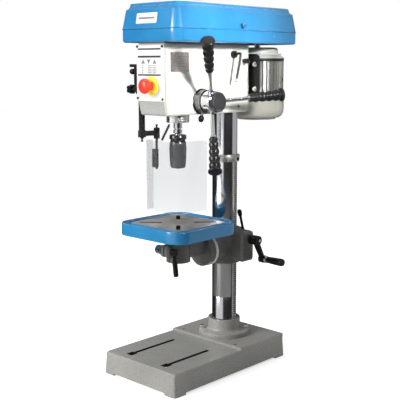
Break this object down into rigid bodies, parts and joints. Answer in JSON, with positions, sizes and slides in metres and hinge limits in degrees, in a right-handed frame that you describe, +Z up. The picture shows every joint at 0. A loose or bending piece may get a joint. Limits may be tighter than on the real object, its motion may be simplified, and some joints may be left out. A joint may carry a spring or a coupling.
{
  "type": "drill press",
  "caption": "Bench drill press: cast base, chrome column with rack, cranked tilting table, belt-driven head with swinging feed spokes, keyless chuck, clear guard and blue belt cover.",
  "frame": {"origin": "the column's axis at the plane of the bench, where the base's boss stands", "axes": "+Z up the column, -Y towards the operator and the spindle, +X towards the feed spokes"},
  "size_m": [0.3385, 0.58, 1.033],
  "materials": {
    "grey_casting": "hammered grey paint over cast iron",
    "head_enamel": "hammered grey-green enamel",
    "blue_enamel": "bright blue gloss enamel",
    "chrome": "polished",
    "steel": "machined",
    "black_plastic": "moulded, satin",
    "black_steel": "blackened or black painted steel",
    "light_panel": "light grey printed sheet",
    "red_plastic": "gloss red",
    "yellow_plastic": "satin yellow",
    "aluminium": "cast and machined",
    "rubber": "matt",
    "clear_sheet": "clear bent plastic sheet"
  },
  "bodies": {
    "stand": {"base_casting": "grey_casting", "column_flange": "grey_casting", "column": "chrome", "rack_collar": "aluminium", "head_casting": "head_enamel", "control_panel": "light_panel", "estop_ring": "yellow_plastic", "rating_plate": "aluminium", "spring_housing": "black_steel", "return_spring": "steel", "cover_tray": "blue_enamel", "guard_bracket": "black_steel", "drive_belt": "rubber"},
    "rack": {"column_rack": "steel"},
    "carriage": {"table_bracket": "grey_casting"},
    "height_gear": {"table_pinion": "steel"},
    "crank": {"crank_shaft": "steel", "crank_arm": "black_plastic"},
    "crank_handle": {"crank_grip": "black_plastic"},
    "column_clamp": {"column_clamp_lever": "black_steel"},
    "table_support": {"table_arm": "grey_casting"},
    "table": {"drill_table": "blue_enamel"},
    "table_clamp": {"table_clamp_lever": "black_steel"},
    "stop_button": {"estop_button": "red_plastic"},
    "quill_slide": {"quill": "steel", "lower_bearing": "steel", "upper_bearing": "steel"},
    "spindle_chuck": {"spindle": "chrome", "chuck_body": "black_steel"},
    "chuck_ring": {"chuck_sleeve": "black_steel"},
    "jaw_1": {"chuck_jaw_1": "steel"},
    "jaw_2": {"chuck_jaw_2": "steel"},
    "jaw_3": {"chuck_jaw_3": "steel"},
    "feed_wheel": {"feed_shaft": "steel", "feed_hub": "chrome", "feed_cap": "black_plastic", "feed_spoke_1": "chrome", "feed_spoke_2": "chrome", "feed_spoke_3": "chrome", "feed_grip_1": "black_plastic", "feed_grip_2": "black_plastic", "feed_grip_3": "black_plastic"},
    "depth_stop": {"depth_ring": "steel"},
    "depth_screw": {"depth_lock_screw": "black_plastic"},
    "spindle_drive": {"spindle_pulley": "aluminium"},
    "lid": {"cover_lid": "blue_enamel"},
    "latch": {"lid_latch": "black_plastic"},
    "motor": {"motor_body": "aluminium", "fan_cowl": "head_enamel", "motor_plate": "black_steel", "terminal_box": "black_plastic"},
    "rotor": {"motor_shaft": "steel", "motor_pulley": "aluminium"},
    "tension_handle": {"tension_lever": "black_steel"},
    "slide_lock": {"slide_lock_knob": "black_plastic"},
    "guard_screw": {"guard_knob": "black_plastic"},
    "guard_mount": {"guard_post": "black_steel"},
    "guard": {"guard_arm": "black_steel", "guard_shield": "clear_sheet", "guard_stay": "black_steel"}
  },
  "joints": [
    {"name": "column_swing", "type": "hinge", "parent": "stand", "child": "rack", "pos_m": [0, 0, 0.3], "axis": [0, 0, 1], "range_deg": [-170, 170]},
    {"name": "table_height", "type": "slide", "parent": "rack", "child": "carriage", "axis": [0, 0, 1], "range_m": [-0.16, 0.033]},
    {"name": "height_gear_turn", "type": "hinge", "parent": "carriage", "child": "height_gear", "pos_m": [0.055, 0, 0.3416], "axis": [0, 1, 0], "range_deg": [-146, 706]},
    {"name": "crank_turn", "type": "hinge", "parent": "carriage", "child": "crank", "pos_m": [0.09, 0.012, 0.368], "axis": [1, 0, 0], "range_deg": [-2340, 11300]},
    {"name": "crank_grip_spin", "type": "hinge", "parent": "crank", "child": "crank_handle", "pos_m": [0.116, 0.03972, 0.3086], "axis": [1, 0, 0], "continuous": true},
    {"name": "column_clamp_turn", "type": "hinge", "parent": "carriage", "child": "column_clamp", "pos_m": [0, 0.06, 0.362], "axis": [1, 0, 0], "range_deg": [-60, 0]},
    {"name": "table_tilt", "type": "hinge", "parent": "carriage", "child": "table_support", "pos_m": [0, -0.074, 0.338], "axis": [0, 1, 0], "range_deg": [-19, 19]},
    {"name": "table_turn", "type": "hinge", "parent": "table_support", "child": "table", "pos_m": [0, -0.195, 0.4], "axis": [0, 0, 1], "continuous": true},
    {"name": "table_clamp_turn", "type": "hinge", "parent": "table_support", "child": "table_clamp", "pos_m": [0, -0.238, 0.3595], "axis": [1, 0, 0], "range_deg": [-80, 0]},
    {"name": "stop_press", "type": "slide", "parent": "stand", "child": "stop_button", "axis": [0, 1, 0], "range_m": [0, 0.005], "stiffness_N_per_m": 600, "springref_m": -0.003},
    {"name": "quill_feed", "type": "slide", "parent": "stand", "child": "quill_slide", "axis": [0, 0, -1], "range_m": [0, 0.08], "stiffness_N_per_m": 300, "springref_m": -0.26},
    {"name": "feed_turn", "type": "hinge", "parent": "stand", "child": "feed_wheel", "pos_m": [0, -0.15575, 0.772], "axis": [1, 0, 0], "range_deg": [0, 374.4]},
    {"name": "motor_spin", "type": "hinge", "parent": "motor", "child": "rotor", "pos_m": [0, 0.144, 0.95], "axis": [0, 0, 1], "continuous": true},
    {"name": "pulley_spin", "type": "hinge", "parent": "stand", "child": "spindle_drive", "pos_m": [0, -0.195, 0.95], "axis": [0, 0, 1], "continuous": true},
    {"name": "spindle_spin", "type": "hinge", "parent": "quill_slide", "child": "spindle_chuck", "pos_m": [0, -0.195, 0.7], "axis": [0, 0, 1], "continuous": true},
    {"name": "chuck_turn", "type": "hinge", "parent": "spindle_chuck", "child": "chuck_ring", "pos_m": [0, -0.195, 0.6], "axis": [0, 0, 1], "range_deg": [0, 360]},
    {"name": "jaw_1_slide", "type": "slide", "parent": "spindle_chuck", "child": "jaw_1", "axis": [0, 0.0958, 0.9954], "range_m": [0, 0.0065]},
    {"name": "jaw_2_slide", "type": "slide", "parent": "spindle_chuck", "child": "jaw_2", "axis": [-0.083, -0.0479, 0.9954], "range_m": [0, 0.0065]},
    {"name": "jaw_3_slide", "type": "slide", "parent": "spindle_chuck", "child": "jaw_3", "axis": [0.083, -0.0479, 0.9954], "range_m": [0, 0.0065]},
    {"name": "depth_ring_turn", "type": "hinge", "parent": "stand", "child": "depth_stop", "pos_m": [0.052, -0.15575, 0.772], "axis": [1, 0, 0], "range_deg": [0, 330]},
    {"name": "depth_screw_turn", "type": "hinge", "parent": "depth_stop", "child": "depth_screw", "pos_m": [0.063, -0.15575, 0.772], "axis": [0, -0.2599, -0.9656], "range_deg": [0, 360]},
    {"name": "motor_slide", "type": "slide", "parent": "stand", "child": "motor", "axis": [0, 1, 0], "range_m": [-0.009, 0]},
    {"name": "tension_handle_turn", "type": "hinge", "parent": "stand", "child": "tension_handle", "pos_m": [0.052, -0.026, 0.9], "axis": [1, 0, 0], "range_deg": [0, 30]},
    {"name": "slide_lock_turn", "type": "hinge", "parent": "stand", "child": "slide_lock", "pos_m": [0.052, 0.02, 0.882], "axis": [1, 0, 0], "range_deg": [0, 360]},
    {"name": "lid_open", "type": "hinge", "parent": "stand", "child": "lid", "pos_m": [-0.1135, 0, 0.964], "axis": [0, -1, 0], "range_deg": [0, 100]},
    {"name": "latch_turn", "type": "hinge", "parent": "lid", "child": "latch", "pos_m": [0.112, -0.053, 0.978], "axis": [1, 0, 0], "range_deg": [0, 90]},
    {"name": "guard_screw_turn", "type": "hinge", "parent": "stand", "child": "guard_screw", "pos_m": [-0.0685, -0.272, 0.805], "axis": [1, 0, 0], "range_deg": [-180, 180]},
    {"name": "guard_height", "type": "slide", "parent": "stand", "child": "guard_mount", "axis": [0, 0, 1], "range_m": [-0.03, 0.02]},
    {"name": "guard_swing", "type": "hinge", "parent": "guard_mount", "child": "guard", "pos_m": [-0.062, -0.272, 0.685], "axis": [0, 0, -1], "range_deg": [0, 135]}
  ],
  "couplings": [
    {"joint": "height_gear_turn", "follows": "table_height", "rad_per_m": -76.923},
    {"joint": "crank_turn", "follows": "table_height", "rad_per_m": -1230.8},
    {"joint": "feed_turn", "follows": "quill_feed", "rad_per_m": 81.633},
    {"joint": "pulley_spin", "follows": "motor_spin", "ratio": 0.71186},
    {"joint": "spindle_spin", "follows": "motor_spin", "ratio": 0.71186},
    {"joint": "tension_handle_turn", "follows": "motor_slide", "rad_per_m": -58.178},
    {"joint": "jaw_1_slide", "follows": "chuck_turn", "m_per_rad": 0.000987},
    {"joint": "jaw_2_slide", "follows": "chuck_turn", "m_per_rad": 0.000987},
    {"joint": "jaw_3_slide", "follows": "chuck_turn", "m_per_rad": 0.000987}
  ]
}
